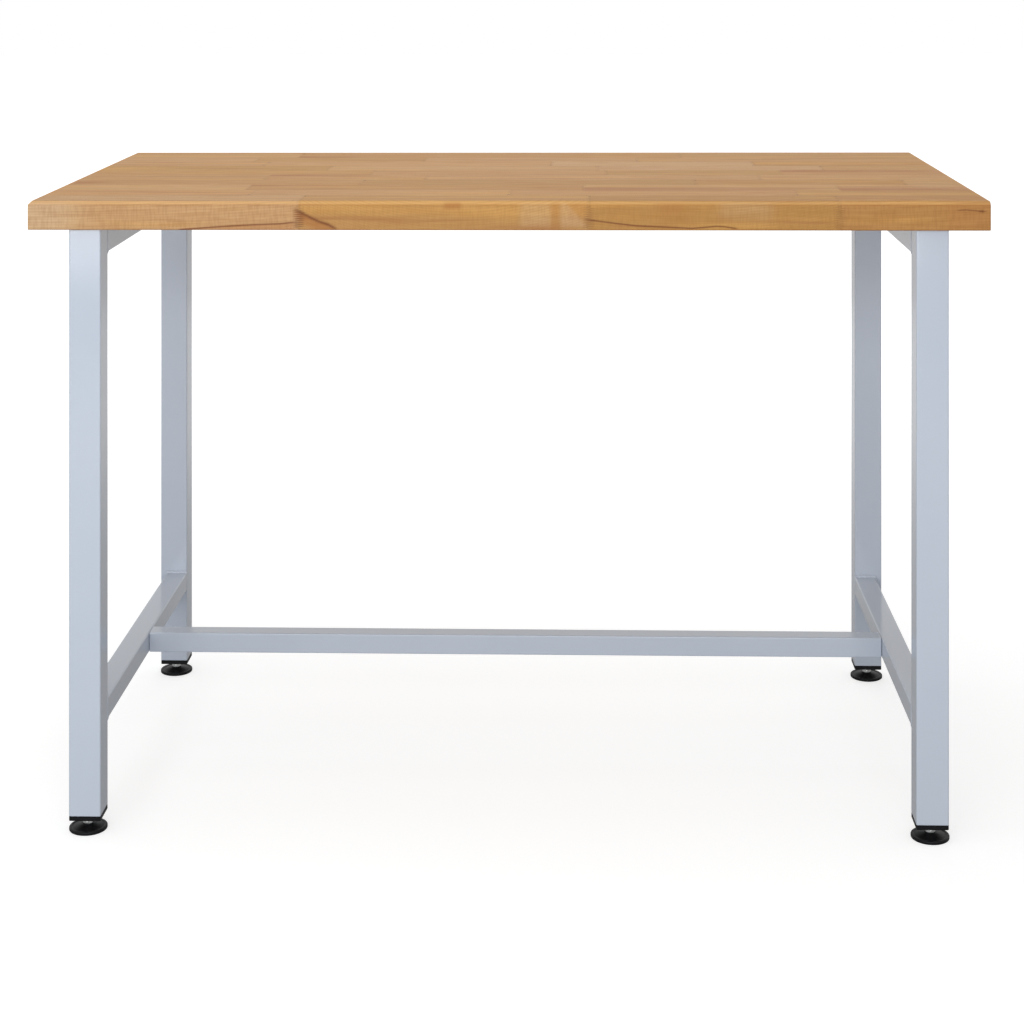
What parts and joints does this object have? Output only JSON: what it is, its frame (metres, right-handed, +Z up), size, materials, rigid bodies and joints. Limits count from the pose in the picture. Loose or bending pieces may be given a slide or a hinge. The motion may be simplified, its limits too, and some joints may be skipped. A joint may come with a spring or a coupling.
{
  "type": "workbench",
  "caption": "Workbench: laminated beech worktop on welded square-tube side frames joined by a low stretcher, standing on screw-adjustable levelling feet.",
  "frame": {"origin": "on the floor, under the middle of the worktop", "axes": "+X along the worktop to the right as seen from the front, +Y to the back, +Z up"},
  "size_m": [1.252, 0.65, 0.833],
  "materials": {
    "beech": "sanded and oiled, finger-jointed staves",
    "powder_coat": "light blue-grey powder coat, semi-gloss",
    "zinc": "bright zinc plate",
    "steel": "bare machined steel",
    "black_plastic": "moulded, fine satin"
  },
  "bodies": {
    "frame": {"worktop": "beech", "leg_front_left": "powder_coat", "leg_front_right": "powder_coat", "leg_rear_left": "powder_coat", "leg_rear_right": "powder_coat", "upper_rail_left": "powder_coat", "upper_rail_right": "powder_coat", "lower_rail_left": "powder_coat", "lower_rail_right": "powder_coat", "stretcher": "powder_coat", "stretcher_bolt_left": "zinc", "stretcher_bolt_right": "zinc", "stretcher_washer_left": "zinc", "stretcher_washer_right": "zinc", "worktop_screw_left_front": "zinc", "worktop_screw_left_middle": "zinc", "worktop_screw_left_rear": "zinc", "worktop_screw_right_front": "zinc", "worktop_screw_right_middle": "zinc", "worktop_screw_right_rear": "zinc", "worktop_washer_left_front": "zinc", "worktop_washer_left_middle": "zinc", "worktop_washer_left_rear": "zinc", "worktop_washer_right_front": "zinc", "worktop_washer_right_middle": "zinc", "worktop_washer_right_rear": "zinc", "foot_nut_front_left": "zinc", "foot_nut_front_right": "zinc", "foot_nut_rear_left": "zinc", "foot_nut_rear_right": "zinc", "stretcher_plug_left": "steel", "stretcher_plug_right": "steel", "foot_plug_front_left": "black_plastic", "foot_plug_front_right": "black_plastic", "foot_plug_rear_left": "black_plastic", "foot_plug_rear_right": "black_plastic"},
    "foot_pad_front_left": {"foot_pad_front_left": "black_plastic"},
    "foot_stem_front_left": {"foot_stem_front_left": "zinc"},
    "foot_pad_front_right": {"foot_pad_front_right": "black_plastic"},
    "foot_stem_front_right": {"foot_stem_front_right": "zinc"},
    "foot_pad_rear_left": {"foot_pad_rear_left": "black_plastic"},
    "foot_stem_rear_left": {"foot_stem_rear_left": "zinc"},
    "foot_pad_rear_right": {"foot_pad_rear_right": "black_plastic"},
    "foot_stem_rear_right": {"foot_stem_rear_right": "zinc"}
  },
  "joints": [
    {"name": "foot_height_front_left", "type": "slide", "parent": "frame", "child": "foot_pad_front_left", "axis": [0, 0, -1], "range_m": [-0.0045, 0.015]},
    {"name": "foot_turn_front_left", "type": "hinge", "parent": "foot_pad_front_left", "child": "foot_stem_front_left", "pos_m": [-0.553, -0.294, 0], "axis": [0, 0, -1], "range_deg": [-1297, 4321]},
    {"name": "foot_height_front_right", "type": "slide", "parent": "frame", "child": "foot_pad_front_right", "axis": [0, 0, -1], "range_m": [-0.0045, 0.015]},
    {"name": "foot_turn_front_right", "type": "hinge", "parent": "foot_pad_front_right", "child": "foot_stem_front_right", "pos_m": [0.553, -0.294, 0], "axis": [0, 0, -1], "range_deg": [-1297, 4321]},
    {"name": "foot_height_rear_left", "type": "slide", "parent": "frame", "child": "foot_pad_rear_left", "axis": [0, 0, -1], "range_m": [-0.0045, 0.015]},
    {"name": "foot_turn_rear_left", "type": "hinge", "parent": "foot_pad_rear_left", "child": "foot_stem_rear_left", "pos_m": [-0.553, 0.294, 0], "axis": [0, 0, -1], "range_deg": [-1297, 4321]},
    {"name": "foot_height_rear_right", "type": "slide", "parent": "frame", "child": "foot_pad_rear_right", "axis": [0, 0, -1], "range_m": [-0.0045, 0.015]},
    {"name": "foot_turn_rear_right", "type": "hinge", "parent": "foot_pad_rear_right", "child": "foot_stem_rear_right", "pos_m": [0.553, 0.294, 0], "axis": [0, 0, -1], "range_deg": [-1297, 4321]}
  ],
  "couplings": [
    {"joint": "foot_turn_front_left", "follows": "foot_height_front_left", "rad_per_m": 5026.5},
    {"joint": "foot_turn_front_right", "follows": "foot_height_front_right", "rad_per_m": 5026.5},
    {"joint": "foot_turn_rear_left", "follows": "foot_height_rear_left", "rad_per_m": 5026.5},
    {"joint": "foot_turn_rear_right", "follows": "foot_height_rear_right", "rad_per_m": 5026.5}
  ]
}
